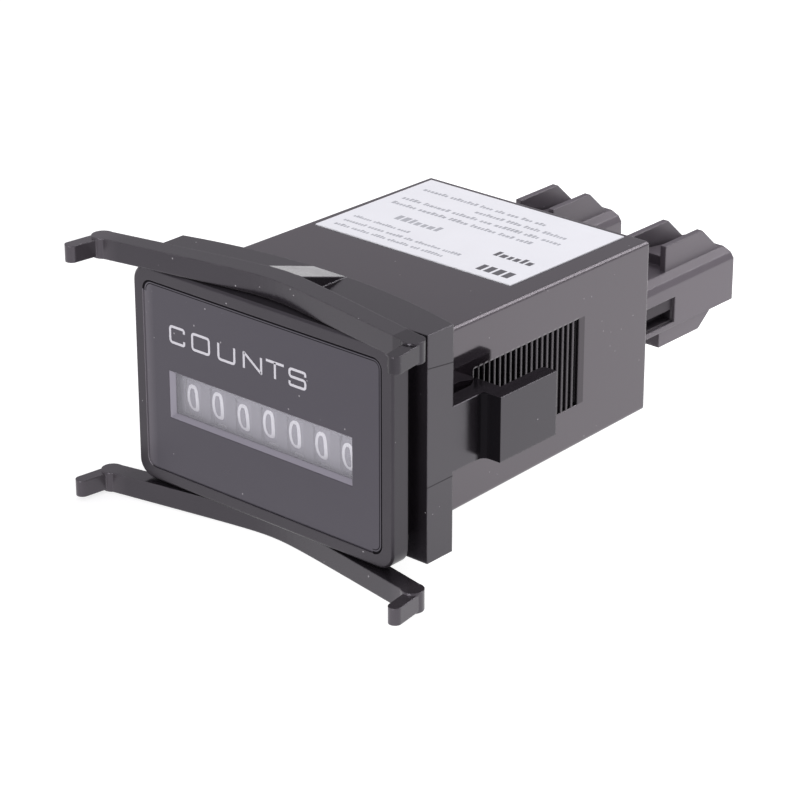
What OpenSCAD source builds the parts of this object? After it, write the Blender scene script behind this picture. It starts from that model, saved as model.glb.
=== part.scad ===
// Panel counter: snap-in electromechanical counter with seven number wheels.
// Frame: X right seen from the front, Y into the panel, Z up, millimetres.
// The origin is the middle of the bezel's rear face, which lies on the panel.

/* [Bezel and window] */
// Width of the bezel
bezel_w = 36; // [35.2:0.1:40]
// Height of the bezel
bezel_h = 24.3; // [23.8:0.1:28]
// Thickness of the bezel in front of the panel
bezel_t = 2.3; // [2.2:0.05:3.5]
// Corner radius of the bezel
bezel_corner_r = 2.0; // [1.4:0.1:3]
// Width of the rim around the face plate
rim_w = 1.44; // [1.2:0.02:1.7]
// Chamfer on the bezel's front edge
bezel_edge = 0.25; // [0.1:0.05:0.8]
// How far the face plate lies below the rim
face_step = 0.1; // [0.05:0.05:0.3]
// Thickness of the face plate
face_t = 0.6; // [0.4:0.05:0.8]
// Thickness of the clear lens
lens_t = 1.1; // [0.7:0.05:1.2]
// Width of the window on the front
window_w = 25.7; // [22:0.1:27]
// Height of the window on the front
window_h = 5.4; // [3.5:0.1:7]
// Sideways place of the window's middle
window_x = -0.3; // [-0.8:0.1:0.8]
// Run of the sloped window edge
window_slope = 0.45; // [0.2:0.05:0.8]

/* [Case] */
// Outer width of the case at its rear
case_w = 31.2; // [30:0.1:31.6]
// Outer height of the case at its rear
case_h = 19.8; // [19:0.1:20.2]
// Rear face of the case behind the panel
case_rear = 42.6; // [40:0.1:52]
// Wall thickness of the case
case_wall = 1.4; // [1.1:0.05:1.5]
// Radius of the case's long edges
case_edge_r = 0.4; // [0.3:0.05:1]
// Draft of the case's sides, in mm per mm
draft = 0.01; // [0.004:0.001:0.011]
// Chamfer around the rear face
rear_edge = 0.25; // [0.2:0.05:0.9]
// Grooves on each side
groove_count = 20; // [19:1:24]
// Distance from groove to groove
groove_pitch = 0.88; // [0.8:0.02:0.96]
// Depth of a groove
groove_depth = 0.45; // [0.35:0.05:0.7]
// Length of a groove's ramp
groove_ramp = 0.58; // [0.5:0.02:0.7]
// Height of the grooved patch
groove_h = 9.9; // [8:0.1:14]
// Height of the patch's middle
groove_z = -0.2; // [-0.8:0.1:0.8]

/* [Label] */
// Left edge of the label
label_x0 = -14.6; // [-14.7:0.1:-8]
// Right edge of the label
label_x1 = 12.8; // [8:0.1:14.5]
// Front edge of the label
label_y0 = 22.2; // [16:0.1:30]
// Label ends this far from the rear face
label_rear = 1.0; // [0.5:0.1:4]
// Thickness of the label
label_t = 0.12; // [0.05:0.01:0.25]

/* [Mounting clip] */
// Collar stands this far behind the panel plane
clip_y = 2.1; // [2.05:0.05:4]
// Play of the collar around the case
clip_play = 0.6; // [0.3:0.05:0.8]
// Thickness of the collar's sides
collar_side = 2.55; // [2:0.05:3.4]
// Height of the collar's bars
collar_bar = 2.0; // [1.4:0.05:2.4]
// Length of the collar along the case
collar_l = 3.9; // [3:0.1:5]
// How far the bars' rear edge bows back
bar_bow = 2.6; // [0.5:0.1:4]
// Gap between the bezel's edge and a spring arm
arm_gap = 0.15; // [0.1:0.05:0.5]
// Height of a spring arm
arm_h = 2.25; // [1.6:0.05:3]
// Thickness of a spring arm at the middle
arm_t = 2.6; // [1.8:0.05:3]
// Slope of a spring arm towards its ends
arm_slope = 0.195; // [0.1:0.005:0.24]
// Reach of a foot beyond the bezel's side
foot_out = 3.7; // [3:0.05:6]
// Length of a foot ahead of the arm
foot_l = 3.7; // [2:0.1:5]
// Thickness of a foot
foot_t = 1.45; // [1:0.05:2]
// Width of the rib between arm and collar
rib_w = 4.6; // [3:0.1:8]
// Height of a ratchet lever
lever_h = 7.2; // [5:0.1:9]
// Thickness of a ratchet lever
lever_t = 2.1; // [1.4:0.05:2.4]
// Distance from the collar to the thumb pad
pad_front = 4.8; // [4:0.1:6]
// Length of the thumb pad
pad_l = 9.1; // [6:0.1:12]
// Thickness of the thumb pad
pad_t = 1.85; // [1.2:0.05:2.4]
// Pawl's depth in a groove
pawl_in = 0.2; // [0.1:0.05:0.25]

/* [Number wheels] */
// Height of the wheel axis above the case's middle
wheel_z = -1.8; // [-2.1:0.1:-1.5]
// Room below the wheels
wheel_room = 0.5; // [0.4:0.05:0.8]
// Room between the lens and the wheels
wheel_air = 0.3; // [0.2:0.05:0.5]
// Radius of the wheel shaft
wheel_shaft_r = 1.0; // [0.7:0.05:1.3]
// Radius of the pinion shaft
pinion_shaft_r = 0.5; // [0.4:0.05:0.65]
// Space between two number bands for the gearing
gear_zone = 0.86; // [0.7:0.02:1.1]

/* [Drive] */
// Thickness of the frame's side plates
plate_t = 1.0; // [0.8:0.05:1.1]
// Thickness of the frame's floor
floor_t = 0.85; // [0.6:0.05:1]
// Thickness of the magnet's yoke
yoke_t = 1.2; // [0.9:0.05:1.4]
// Width of the yoke and the armature
yoke_w = 10; // [8:0.1:11]
// Radius of the magnet's core
core_r = 2.0; // [1.5:0.05:2.3]
// Radius of the bobbin's flanges
flange_r = 5.2; // [4.4:0.05:5.3]
// Thickness of the armature
armature_t = 1.0; // [0.8:0.05:1.2]
// Gap between armature and core
air_gap = 0.5; // [0.45:0.05:0.7]
// Radius of the armature's pin
armature_pin_r = 0.5; // [0.4:0.05:0.6]
// Thickness of the circuit board
board_t = 1.2; // [0.8:0.1:1.6]
// Width of the bridge rectifier
bridge_w = 4.7; // [4:0.1:5.5]
// Height of the bridge rectifier
bridge_h = 5.5; // [4.5:0.1:6]
// Thickness of the bridge rectifier
bridge_t = 2.4; // [1.8:0.1:2.5]
// Radius of the suppressor
suppressor_r = 3.0; // [2:0.1:3.2]
// Thickness of the suppressor
suppressor_t = 2.2; // [1.5:0.1:2.4]

/* [Terminals] */
// Distance of each terminal from the case's side
terminal_in = 7.2; // [7:0.05:7.9]
// Height of the terminals
terminal_z = -0.65; // [-1.2:0.05:-0.3]
// Width of a blade
blade_w = 6.3; // [5.8:0.05:6.4]
// Thickness of a blade
blade_t = 0.8; // [0.5:0.05:0.9]
// Length of a blade outside the case
blade_out = 8.2; // [6:0.1:9]
// Width of a plug housing
plug_w = 8.5; // [8.4:0.05:9.2]
// Length of a plug housing
plug_l = 20.2; // [19:0.1:24]
// How much less far the left plug is pushed on
left_out = 1.0; // [0:0.1:1.4]
// Radius of the wire entry
wire_r = 1.7; // [1.2:0.05:1.9]
// Height of the lock walls on a plug housing
lock_h = 3.05; // [2:0.05:4]
// Depth of the keel below a plug housing
keel_h = 1.9; // [1:0.1:2.4]

/* [Clearances] */
// Gap around the face plate
face_gap = 0.14; // [0.08:0.02:0.2]
// Gap around pieces that are set into one another
fit_gap = 0.05; // [0.03:0.01:0.1]
// Radial clearance of a turning bore
run_gap = 0.04; // [0.02:0.01:0.06]
// Gap between moving faces side by side
side_gap = 0.13; // [0.1:0.01:0.16]

/* [Output] */
// Which node is drawn

/* [Hidden] */
$fn = 48;

// Front stack: face plate, lens, then the case's front edge against the lens
pocket_w = bezel_w - 2 * rim_w;
pocket_h = bezel_h - 2 * rim_w;
pocket_r = max(bezel_corner_r - rim_w, 0.3) + 0.6;
face_y0 = -bezel_t + face_step;
lens_y0 = face_y0 + face_t;
case_y0 = lens_y0 + lens_t;
case_in_w = case_w - 2 * case_wall;
case_in_h = case_h - 2 * case_wall;
function grow(y) = draft * (case_rear - y);
front_w = case_w + 2 * grow(case_y0);
front_h = case_h + 2 * grow(case_y0);
label_y1 = case_rear - label_rear;

// Clip
collar_w = case_w + 2 * clip_play + 2 * collar_side;
collar_x = collar_w / 2;
collar_in_w = case_w + 2 * clip_play;
collar_in_h = case_h + 2 * clip_play;
collar_h = collar_in_h + 2 * collar_bar;
collar_y1 = clip_y + collar_l;
arm_z0 = bezel_h / 2 + arm_gap;
arm_z1 = arm_z0 + arm_h;
arm_y0 = clip_y - 1.55;
foot_x = bezel_w / 2 + foot_out;
pad_y0 = collar_y1 + pad_front;
pad_y1 = pad_y0 + pad_l;
pad_x0 = collar_x + 0.35;
pawl_y = pad_y0 + 2.3;
groove_y0 = pawl_y + 0.1;

// Number wheels, from the left side plate to the right one
plate_x = case_in_w / 2 - 0.1 - plate_t;
star_t = 0.45;
row_x0 = -plate_x + 0.1;
row_x1 = plate_x - 0.25 - star_t;
wheel_pitch = (row_x1 - row_x0 + side_gap) / 7;
wheel_w = wheel_pitch - side_gap;
band_w = wheel_pitch - gear_zone;
wheel_r = case_in_h / 2 + wheel_z - wheel_room;
wheel_y = case_y0 + wheel_air + wheel_r;
gear_teeth = 20;
pinion_teeth = 8;
module_mm = (wheel_r - 0.05) / (gear_teeth / 2 + 0.9);
gear_r = module_mm * gear_teeth / 2;
pinion_r = module_mm * pinion_teeth / 2;
pinion_tip_r = pinion_r + 0.9 * module_mm;
mesh_angle = 60;
mesh_distance = gear_r + pinion_r;
pinion_y = wheel_y + mesh_distance * cos(mesh_angle);
pinion_z = wheel_z + mesh_distance * sin(mesh_angle);
carry_r = mesh_distance - pinion_tip_r - 0.2;
pinion_w = gear_zone - side_gap + 0.04;
star_r = wheel_r - 1.7;

// Magnet, from the wheels back to the circuit board
floor_z0 = -case_in_h / 2 + fit_gap;
floor_z1 = floor_z0 + floor_t;
yoke_z1 = floor_z1 + yoke_t;
knuckle_r = armature_pin_r + 0.6;
pivot_y = wheel_y + wheel_r + 0.5 + knuckle_r + 1.2;
pivot_z = yoke_z1 - 0.1;
armature_y0 = pivot_y + 0.2;
armature_y1 = armature_y0 + armature_t;
core_y0 = armature_y1 + air_gap;
core_z = yoke_z1 + 0.15 + flange_r;
board_y0 = case_rear - case_wall - 2.4 - board_t;
leg_y1 = board_y0 - 2.6;
leg_y0 = leg_y1 - yoke_t;
bobbin_y0 = core_y0 + 0.7;
bobbin_y1 = leg_y0;
plate_y0 = case_y0 + 0.7;

// Terminals
terminal_x = case_w / 2 - terminal_in;
plug_y1 = case_rear + plug_l;
plug_z0 = terminal_z - 3.05;
plug_z1 = terminal_z + 3.05;
blade_y1 = case_rear + blade_out;
sheet = 0.3;
contact_w = blade_w + 0.1 + 2 * sheet;
contact_h = blade_t + 0.1 + 2 * sheet;

// A profile in X and Z drawn out along Y
module along_y(y0, y1) {
    translate([0, y1, 0]) rotate([90, 0, 0]) linear_extrude(y1 - y0) children();
}

// A profile in Y and Z drawn out along X
module along_x(x0, x1) {
    translate([x0, 0, 0]) rotate([90, 0, 90]) linear_extrude(x1 - x0) children();
}

module rounded_rect(w, h, r) {
    square([w - 2 * r, h], center = true);
    square([w, h - 2 * r], center = true);
    for (sx = [-1, 1], sy = [-1, 1]) {
        translate([sx * (w / 2 - r), sy * (h / 2 - r)]) circle(r);
    }
}

// A rounded plate whose last edge is chamfered, from y0 to y1, chamfer at y1
module chamfered_end(w, h, r, y0, y1, c) {
    s = y1 > y0 ? 1 : -1;
    hull() {
        along_y(min(y0, y0 + s * 0.01), max(y0, y0 + s * 0.01)) rounded_rect(w, h, r);
        along_y(min(y1 - s * 0.01, y1), max(y1 - s * 0.01, y1))
            rounded_rect(w - 2 * c, h - 2 * c, max(r - c, 0.1));
    }
}

module rod_x(x0, x1, y, z, r) {
    translate([x0, y, z]) rotate([0, 90, 0]) cylinder(h = x1 - x0, r = r);
}

module rod_y(y0, y1, x, z, r) {
    translate([x, y0, z]) rotate([-90, 0, 0]) cylinder(h = y1 - y0, r = r);
}

module bezel() {
    color([0.16, 0.15, 0.17])
    difference() {
        union() {
            along_y(-bezel_t + bezel_edge, 0) rounded_rect(bezel_w, bezel_h, bezel_corner_r);
            chamfered_end(bezel_w, bezel_h, bezel_corner_r, -bezel_t + bezel_edge, -bezel_t, bezel_edge);
        }
        along_y(-bezel_t - 1, case_y0) rounded_rect(pocket_w, pocket_h, pocket_r);
        along_y(-bezel_t - 1, 1) rounded_rect(front_w + 2 * fit_gap, front_h + 2 * fit_gap, case_edge_r);
    }
}

module face_plate() {
    color([0.2, 0.19, 0.21])
    difference() {
        along_y(face_y0, lens_y0)
            rounded_rect(pocket_w - 2 * face_gap, pocket_h - 2 * face_gap, pocket_r - face_gap);
        translate([window_x, 0, wheel_z + 0.3]) hull() {
            along_y(face_y0 - 0.01, face_y0) square([window_w, window_h], center = true);
            along_y(lens_y0, lens_y0 + 0.01)
                square([window_w - 2 * window_slope, window_h - 2 * window_slope], center = true);
        }
    }
}

module lens() {
    color([0.8, 0.8, 0.84, 0.4])
    along_y(lens_y0, case_y0)
        rounded_rect(pocket_w - 2 * fit_gap, pocket_h - 2 * fit_gap, pocket_r - fit_gap);
}

// Saw-tooth grooves in plan on the right side: a ramp in, then a square rear wall, the last one wider
module grooves() {
    translate([0, 0, groove_z - groove_h / 2]) linear_extrude(groove_h)
    for (i = [0 : groove_count - 1]) {
        y = groove_y0 + i * groove_pitch;
        end = i == groove_count - 1 ? groove_pitch * 0.3 : 0;
        translate([case_w / 2 + grow(y), y])
            polygon([
                [0.3, -groove_ramp], [0, -groove_ramp], [-groove_depth, -0.06], [-groove_depth, end], [0.3, end]
            ]);
    }
}

module case() {
    color([0.12, 0.12, 0.13])
    difference() {
        union() {
            hull() {
                along_y(case_y0, case_y0 + 0.01) rounded_rect(front_w, front_h, case_edge_r);
                along_y(case_rear - rear_edge - 0.01, case_rear - rear_edge)
                    rounded_rect(case_w, case_h, case_edge_r);
            }
            chamfered_end(case_w, case_h, case_edge_r, case_rear - rear_edge - 0.01, case_rear, rear_edge);
        }
        along_y(case_y0 - 1, case_rear - case_wall) square([case_in_w, case_in_h], center = true);
        grooves();
        mirror([1, 0, 0]) grooves();
        for (s = [-1, 1]) {
            translate([s * terminal_x, 0, terminal_z])
                along_y(case_rear - case_wall - 1, case_rear + 1)
                    square([blade_w + 2 * fit_gap, blade_t + 2 * fit_gap], center = true);
        }
    }
}

module label_sheet() {
    color([0.94, 0.94, 0.95])
    along_x(label_x0, label_x1)
        polygon([
            [label_y0, case_h / 2 + grow(label_y0)], [label_y1, case_h / 2 + grow(label_y1)],
            [label_y1, case_h / 2 + grow(label_y1) + label_t], [label_y0, case_h / 2 + grow(label_y0) + label_t]
        ]);
}

// Centre line of a spring arm, a rounded V seen from above
function arm_mid(x) = arm_y0 - arm_slope * (sqrt(x * x + 9) - 3);
function arm_half(x) = (arm_t - 0.4 * abs(x) / foot_x) / 2;
arm_steps = 20;
arm_x1 = foot_x + foot_t / 2 - arm_half(foot_x);
arm_x = [for (i = [-arm_steps : arm_steps]) i * arm_x1 / arm_steps];
arm_outline = concat(
    [for (x = arm_x) [x, arm_mid(x) - arm_half(x)]],
    [for (i = [len(arm_x) - 1 : -1 : 0]) [arm_x[i], arm_mid(arm_x[i]) + arm_half(arm_x[i])]]
);

module spring_arm() {
    foot_y = arm_mid(foot_x);
    translate([0, 0, arm_z0]) linear_extrude(arm_h) {
        polygon(arm_outline);
        for (s = [-1, 1]) translate([s * arm_x1, foot_y]) circle(arm_half(foot_x) + 0.12);
    }
    translate([0, 0, arm_z0 + 0.2]) linear_extrude(arm_h - 0.4)
    for (s = [-1, 1]) {
        translate([s * foot_x, foot_y]) rotate(s * 8) {
            translate([-foot_t / 2, -foot_l]) square([foot_t, foot_l]);
            translate([0, -foot_l]) circle(foot_t / 2);
        }
    }
    along_x(-rib_w / 2, rib_w / 2)
        polygon([
            [arm_y0, arm_z0], [clip_y, arm_z0], [clip_y, collar_in_h / 2 + collar_bar / 2],
            [collar_y1 + bar_bow - 0.1, collar_in_h / 2 + collar_bar / 2],
            [collar_y1 + bar_bow - 0.1, collar_h / 2],
            [arm_y0 + arm_half(0), arm_z1 - 0.05], [arm_y0, arm_z1 - 0.05]
        ]);
}

// A bar of the collar seen from above: straight front, rear edge bowed back in the middle
bar_steps = 16;
bar_outline = concat(
    [[-collar_x, clip_y], [collar_x, clip_y]],
    [for (i = [bar_steps : -1 : -bar_steps])
        let (u = i / bar_steps)
        [u * collar_x, collar_y1 + bar_bow * (1 - u * u)]]
);

module collar_bar_solid() {
    translate([0, 0, collar_in_h / 2]) linear_extrude(collar_bar) polygon(bar_outline);
}

module collar_wall() {
    translate([collar_in_w / 2, clip_y, -collar_in_h / 2 - 0.5])
        cube([collar_side, collar_l, collar_in_h + 1]);
}

fillet_r = 0.8;
lever_outline = concat(
    [
        [collar_x - lever_t, collar_y1 - 1],
        [collar_x - lever_t, pawl_y - 1.9],
        [case_w / 2 + grow(pawl_y) - pawl_in, pawl_y],
        [pad_x0, pawl_y - 0.1],
        [pad_x0, pad_y1 - 0.6],
        [pad_x0 + 0.18, pad_y1 - 0.18],
        [pad_x0 + 0.6, pad_y1],
        [pad_x0 + pad_t, pad_y1],
        [pad_x0 + pad_t, pad_y0]
    ],
    [for (a = [0 : 22.5 : 90])
        [collar_x + fillet_r * (1 - sin(a)), pad_y0 - fillet_r * (1 - cos(a))]],
    [[collar_x, collar_y1 - 1]]
);

module lever() {
    translate([0, 0, -lever_h / 2]) linear_extrude(lever_h) polygon(lever_outline);
}

module mounting_clip() {
    color([0.14, 0.14, 0.15])
    union() {
        for (s = [0, 1]) {
            mirror([0, 0, s]) {
                collar_bar_solid();
                spring_arm();
            }
            mirror([s, 0, 0]) {
                collar_wall();
                lever();
            }
        }
    }
}

// Straight-flanked gear teeth: tip, pitch and root widths as shares of the tooth pitch
function tooth_points(n, rp, m, i) = [
    for (q = [[rp - 1.15 * m, -0.29], [rp, -0.2], [rp + 0.9 * m, -0.09],
        [rp + 0.9 * m, 0.09], [rp, 0.2], [rp - 1.15 * m, 0.29]])
        let (a = 360 / n * (i + q[1] * rp / q[0]))
        [q[0] * cos(a), q[0] * sin(a)]
];
function gear_points(n, rp, m) = [for (i = [0 : n - 1]) each tooth_points(n, rp, m, i)];

function star_points(n, ra, rd) = [for (i = [0 : n - 1]) each [
    [ra * cos(360 / n * i), ra * sin(360 / n * i)],
    [ra * cos(360 / n * (i + 0.12)), ra * sin(360 / n * (i + 0.12))],
    [rd * cos(360 / n * (i + 0.55)), rd * sin(360 / n * (i + 0.55))]
]];

function wheel_x(i) = row_x0 + wheel_w / 2 + (i - 1) * wheel_pitch;

module number_wheel(i) {
    bore_r = wheel_shaft_r + run_gap;
    x = wheel_x(i);
    color([0.1, 0.1, 0.1])
    translate([0, wheel_y, wheel_z])
    difference() {
        union() {
            difference() {
                rod_x(x - band_w / 2, x + band_w / 2, 0, 0, wheel_r);
                rod_x(x - band_w / 2 - 1, x + band_w / 2 - 0.6, 0, 0, wheel_r - 0.8);
            }
            rod_x(x - wheel_w / 2, x + wheel_w / 2, 0, 0, wheel_shaft_r + 1);
            if (i < 7) {
                along_x(x + band_w / 2 - 0.1, x + wheel_w / 2)
                    rotate(mesh_angle + 180 / gear_teeth) polygon(gear_points(gear_teeth, gear_r, module_mm));
            }
            if (i > 1) {
                rod_x(x - wheel_w / 2, x - band_w / 2 + 0.3, 0, 0, carry_r);
            }
            if (i == 7) {
                along_x(x + band_w / 2 - 0.1, x + wheel_w / 2 + star_t)
                    polygon(star_points(10, star_r, star_r - 1.3));
            }
        }
        rod_x(x - wheel_w, x + wheel_w + star_t, 0, 0, bore_r);
    }
}

module transfer_pinion(i) {
    x = wheel_x(i) + wheel_pitch / 2;
    color([0.85, 0.84, 0.78])
    translate([0, pinion_y, pinion_z])
    difference() {
        along_x(x - pinion_w / 2, x + pinion_w / 2)
            rotate(mesh_angle + 180) polygon(gear_points(pinion_teeth, pinion_r, module_mm));
        rod_x(x - pinion_w, x + pinion_w, 0, 0, pinion_shaft_r + run_gap);
    }
}

module wheel_shaft() {
    color([0.7, 0.7, 0.72])
    rod_x(-plate_x - plate_t, plate_x + plate_t, wheel_y, wheel_z, wheel_shaft_r);
}

module pinion_shaft() {
    color([0.7, 0.7, 0.72])
    rod_x(-plate_x - plate_t, plate_x + plate_t, pinion_y, pinion_z, pinion_shaft_r);
}

module armature_pin() {
    color([0.7, 0.7, 0.72])
    rod_x(-plate_x - plate_t, plate_x + plate_t, pivot_y, pivot_z, armature_pin_r);
}

module mechanism_frame() {
    top = case_in_h / 2 - 0.1;
    color([0.75, 0.72, 0.62])
    difference() {
        union() {
            for (s = [0, 1]) {
                mirror([s, 0, 0]) along_x(plate_x, plate_x + plate_t)
                    polygon([
                        [plate_y0, -3.5], [plate_y0 + 3, floor_z0], [board_y0, floor_z0], [board_y0, top - 4],
                        [board_y0 - 8, top], [plate_y0 + 3, top], [plate_y0, 2]
                    ]);
            }
            translate([-plate_x - 0.1, pivot_y + knuckle_r + 0.3, floor_z0])
                cube([2 * plate_x + 0.2, board_y0 - pivot_y - knuckle_r - 0.3, floor_t]);
        }
        rod_x(-case_w, case_w, wheel_y, wheel_z, wheel_shaft_r);
        rod_x(-case_w, case_w, pinion_y, pinion_z, pinion_shaft_r);
        rod_x(-case_w, case_w, pivot_y, pivot_z, armature_pin_r);
    }
}

module coil_bobbin() {
    color([0.9, 0.88, 0.8])
    difference() {
        union() {
            rod_y(bobbin_y0, bobbin_y1, 0, core_z, core_r + 0.7);
            rod_y(bobbin_y0, bobbin_y0 + 0.8, 0, core_z, flange_r);
            rod_y(bobbin_y1 - 0.8, bobbin_y1, 0, core_z, flange_r);
        }
        rod_y(bobbin_y0 - 1, bobbin_y1 + 1, 0, core_z, core_r);
    }
}

module coil_winding() {
    color([0.72, 0.4, 0.2])
    difference() {
        rod_y(bobbin_y0 + 0.8, bobbin_y1 - 0.8, 0, core_z, flange_r - 0.4);
        rod_y(bobbin_y0, bobbin_y1, 0, core_z, core_r + 0.7);
    }
}

module coil_core() {
    color([0.6, 0.6, 0.62])
    rod_y(core_y0, leg_y1, 0, core_z, core_r);
}

module coil_yoke() {
    color([0.55, 0.56, 0.58])
    difference() {
        union() {
            translate([-yoke_w / 2, pivot_y + knuckle_r + 0.4, floor_z1])
                cube([yoke_w, leg_y1 - pivot_y - knuckle_r - 0.4, yoke_t]);
            translate([-yoke_w / 2, leg_y0, floor_z1])
                cube([yoke_w, yoke_t, core_z + core_r + 1.5 - floor_z1]);
        }
        rod_y(leg_y0 - 1, leg_y1 + 1, 0, core_z, core_r);
    }
}

anchor_x0 = row_x1 + 0.02;
anchor_x1 = row_x1 + star_t;

module armature() {
    color([0.55, 0.56, 0.58])
    difference() {
        union() {
            rod_x(-yoke_w / 2, yoke_w / 2, pivot_y, pivot_z, knuckle_r);
            translate([-yoke_w / 2, armature_y0, pivot_z])
                cube([yoke_w, armature_t, core_z + core_r + 1 - pivot_z]);
            translate([yoke_w / 2 - 1, armature_y0, core_z - 1])
                cube([anchor_x1 - yoke_w / 2 + 1, armature_t, 2.4]);
        }
        rod_x(-yoke_w, yoke_w, pivot_y, pivot_z, armature_pin_r + run_gap);
    }
}

// Fork with two pallets around the star, both clear of it
module anchor_lever() {
    reach = star_r * 0.85;
    y0 = wheel_y + star_r * 0.72;
    y1 = armature_y0 - 0.9;
    color([0.86, 0.84, 0.76])
    along_x(anchor_x0, anchor_x1)
        polygon([
            [armature_y0, core_z - 1], [armature_y0, core_z + 1.4], [y1, core_z + 1.4],
            [y1, wheel_z + reach + 1], [y0, wheel_z + reach + 1], [y0, wheel_z + reach],
            [y1 - 1.1, wheel_z + reach - 0.4], [y1 - 1.1, wheel_z - reach + 0.4], [y0, wheel_z - reach],
            [y0, wheel_z - reach - 0.9], [y1, wheel_z - reach - 0.5], [y1, core_z - 1]
        ]);
}

module return_spring() {
    color([0.78, 0.7, 0.5])
    along_x(yoke_w / 2 + 0.6, yoke_w / 2 + 2.6)
        polygon([
            [armature_y1 + 4, floor_z1], [armature_y1, floor_z1], [armature_y1, core_z + 1],
            [armature_y1 + 0.15, core_z + 1], [armature_y1 + 0.15, floor_z1 + 0.15],
            [armature_y1 + 4, floor_z1 + 0.15]
        ]);
}

module circuit_board() {
    color([0.1, 0.35, 0.2])
    difference() {
        along_y(board_y0, board_y0 + board_t) square([case_in_w - 0.4, case_in_h - 0.4], center = true);
        for (s = [-1, 1]) {
            translate([s * terminal_x, 0, terminal_z])
                along_y(board_y0 - board_t, board_y0 + 2 * board_t) square([blade_w / 2, blade_t], center = true);
        }
    }
}

module bridge_rectifier() {
    color([0.1, 0.1, 0.1])
    translate([plate_x - 1.5 - bridge_w, board_y0 - bridge_t, 0.4]) cube([bridge_w, bridge_t, bridge_h]);
}

module suppressor() {
    color([0.2, 0.35, 0.6])
    rod_y(board_y0 - suppressor_t, board_y0, -plate_x + suppressor_r + 0.9, suppressor_r + 0.6, suppressor_r);
}

module blade(s) {
    color([0.85, 0.8, 0.55])
    translate([s * terminal_x, 0, terminal_z]) {
        along_y(board_y0 - 0.6, board_y0 + board_t + 0.01) square([blade_w / 2, blade_t], center = true);
        along_y(board_y0 + board_t, blade_y1) square([blade_w, blade_t], center = true);
    }
}

// Female contact: flat base with rolled edges over the blade, then a crimp barrel
module receptacle(s) {
    y0 = case_rear + 0.4;
    y1 = blade_y1 + 0.4;
    color([0.82, 0.74, 0.5])
    translate([s * terminal_x, s < 0 ? left_out : 0, terminal_z]) {
        along_y(y0, y1) difference() {
            square([contact_w, contact_h], center = true);
            square([contact_w - 2 * sheet, contact_h - 2 * sheet], center = true);
            translate([-blade_w / 4, 0]) square([blade_w / 2, contact_h]);
        }
        along_y(y1 - 0.3, y1 + 6) difference() {
            translate([0, 1.1 - contact_h / 2]) circle(1.1);
            translate([0, 1.1 - contact_h / 2]) circle(0.75);
            translate([-0.5, 1.1 - contact_h / 2]) square([1, 2]);
        }
    }
}

module plug_housing(s) {
    hw = plug_w / 2;
    wall_x = hw - 1.5;
    lock_y = plug_y1 - 0.55 * plug_l;
    keel_y = plug_y1 - 0.67 * plug_l;
    color([0.11, 0.11, 0.12])
    translate([s * terminal_x, s < 0 ? left_out : 0, 0])
    difference() {
        union() {
            along_y(case_rear, plug_y1)
                polygon([
                    [-hw, plug_z0], [hw, plug_z0], [hw, plug_z1 - 1.1], [hw - 0.45, plug_z1 - 0.45],
                    [wall_x, plug_z1], [-wall_x, plug_z1], [-hw + 0.45, plug_z1 - 0.45], [-hw, plug_z1 - 1.1]
                ]);
            for (t = [-1, 1]) {
                along_x(t * (wall_x - 0.375) - 0.375, t * (wall_x - 0.375) + 0.375)
                    polygon([
                        [lock_y, plug_z1 - 0.5], [lock_y, plug_z1 + lock_h], [lock_y + 0.34 * plug_l, plug_z1 + lock_h],
                        [plug_y1 - 0.9, plug_z1], [plug_y1 - 0.9, plug_z1 - 0.5]
                    ]);
            }
            along_x(-hw + 0.3, hw - 0.3)
                polygon([
                    [keel_y, plug_z0 + 0.5], [keel_y, plug_z0 - keel_h], [plug_y1 - 0.3 * plug_l, plug_z0 - keel_h],
                    [plug_y1 - 0.18 * plug_l, plug_z0], [plug_y1 - 0.18 * plug_l, plug_z0 + 0.5]
                ]);
            along_x(-wall_x + 1.2, wall_x - 1.2)
                polygon([
                    [lock_y + 1.2, plug_z1 - 0.5], [lock_y + 1.2, plug_z1 + 1.2], [lock_y + 2.2, plug_z1 + 1.2],
                    [plug_y1 - 2.2, plug_z1 + 0.3], [plug_y1 - 2.2, plug_z1 - 0.5]
                ]);
        }
        translate([0, 0, terminal_z]) along_y(case_rear - 1, blade_y1 + 1)
            square([contact_w + 0.2, contact_h + 0.2], center = true);
        rod_y(blade_y1 - 0.3, plug_y1 - 4, 0, terminal_z, 2.1);
        rod_y(plug_y1 - 5, plug_y1 + 1, 0, terminal_z, wire_r);
        for (t = [0, 1]) {
            mirror([t, 0, 0]) translate([0, case_rear - 1, terminal_z]) {
                translate([hw - 0.4, 0, -2.45]) cube([1, 0.45 * plug_l + 1, 3]);
                translate([hw - 1.8, 0, -2.25]) cube([2, 0.44 * plug_l + 1, 1.25]);
            }
        }
    }
}

bezel();
face_plate();
lens();
case();
mounting_clip();
label_sheet();
number_wheel(1);  // number_wheel_1
number_wheel(2);  // number_wheel_2
number_wheel(3);  // number_wheel_3
number_wheel(4);  // number_wheel_4
number_wheel(5);  // number_wheel_5
number_wheel(6);  // number_wheel_6
number_wheel(7);  // number_wheel_7
wheel_shaft();
transfer_pinion(1);  // transfer_pinion_1
transfer_pinion(2);  // transfer_pinion_2
transfer_pinion(3);  // transfer_pinion_3
transfer_pinion(4);  // transfer_pinion_4
transfer_pinion(5);  // transfer_pinion_5
transfer_pinion(6);  // transfer_pinion_6
pinion_shaft();
mechanism_frame();
coil_bobbin();
coil_winding();
coil_core();
coil_yoke();
armature();
anchor_lever();
armature_pin();
return_spring();
circuit_board();
bridge_rectifier();
suppressor();
blade(-1);  // blade_terminal_left
blade(1);  // blade_terminal_right
receptacle(-1);  // receptacle_left
receptacle(1);  // receptacle_right
plug_housing(-1);  // plug_housing_left
plug_housing(1);  // plug_housing_right
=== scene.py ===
import math

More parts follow.
